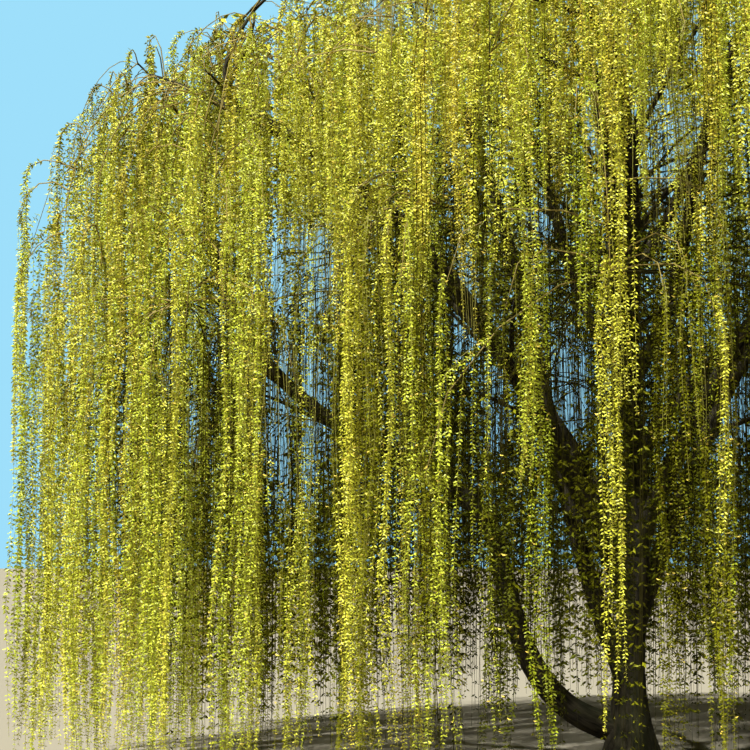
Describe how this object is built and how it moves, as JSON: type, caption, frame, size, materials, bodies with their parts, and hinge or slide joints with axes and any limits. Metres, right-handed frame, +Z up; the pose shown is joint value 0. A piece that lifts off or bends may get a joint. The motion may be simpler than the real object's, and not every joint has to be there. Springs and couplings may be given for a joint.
{
  "type": "weeping willow tree",
  "caption": "Weeping willow in spring: a low-forking trunk, arching boughs and long hanging tresses of young foliage round an open space, fixed at its flat cut at ground level.",
  "frame": {"origin": "middle of the flat cut under the trunk, at ground level", "axes": "+Z up, +X to the right and +Y away as the tree is seen from the front"},
  "size_m": [13.4069, 13.3787, 10.2454],
  "materials": {
    "bark": "rough dark furrowed bark",
    "foliage": "matte yellow-green young leaves and catkins on thin shoots"
  },
  "bodies": {
    "root": {"trunk": "bark", "left_bough": "bark", "left_bough_upper": "bark", "front_left_bough": "bark", "front_bough": "bark", "front_right_bough": "bark", "right_bough": "bark", "back_right_bough": "bark", "back_bough": "bark", "back_left_bough": "bark", "upper_left_bough": "bark", "upper_front_bough": "bark", "upper_front_right_bough": "bark", "upper_right_bough": "bark", "upper_back_right_bough": "bark", "upper_back_left_bough": "bark", "left_curtain_1": "foliage", "left_curtain_2": "foliage", "left_shoulder": "foliage", "front_left_curtain_1": "foliage", "front_left_curtain_2": "foliage", "front_left_shoulder": "foliage", "front_curtain_1": "foliage", "front_curtain_2": "foliage", "front_shoulder": "foliage", "front_right_curtain_1": "foliage", "front_right_curtain_2": "foliage", "front_right_shoulder": "foliage", "right_curtain_1": "foliage", "right_curtain_2": "foliage", "right_shoulder": "foliage", "back_right_curtain_1": "foliage", "back_right_curtain_2": "foliage", "back_right_shoulder": "foliage", "back_curtain_1": "foliage", "back_curtain_2": "foliage", "back_shoulder": "foliage", "back_left_curtain_1": "foliage", "back_left_curtain_2": "foliage", "back_left_shoulder": "foliage", "top_left_mass": "foliage", "top_front_mass": "foliage", "top_front_right_mass": "foliage", "top_right_mass": "foliage", "top_back_right_mass": "foliage", "top_back_left_mass": "foliage", "top_middle_mass": "foliage"}
  },
  "joints": []
}
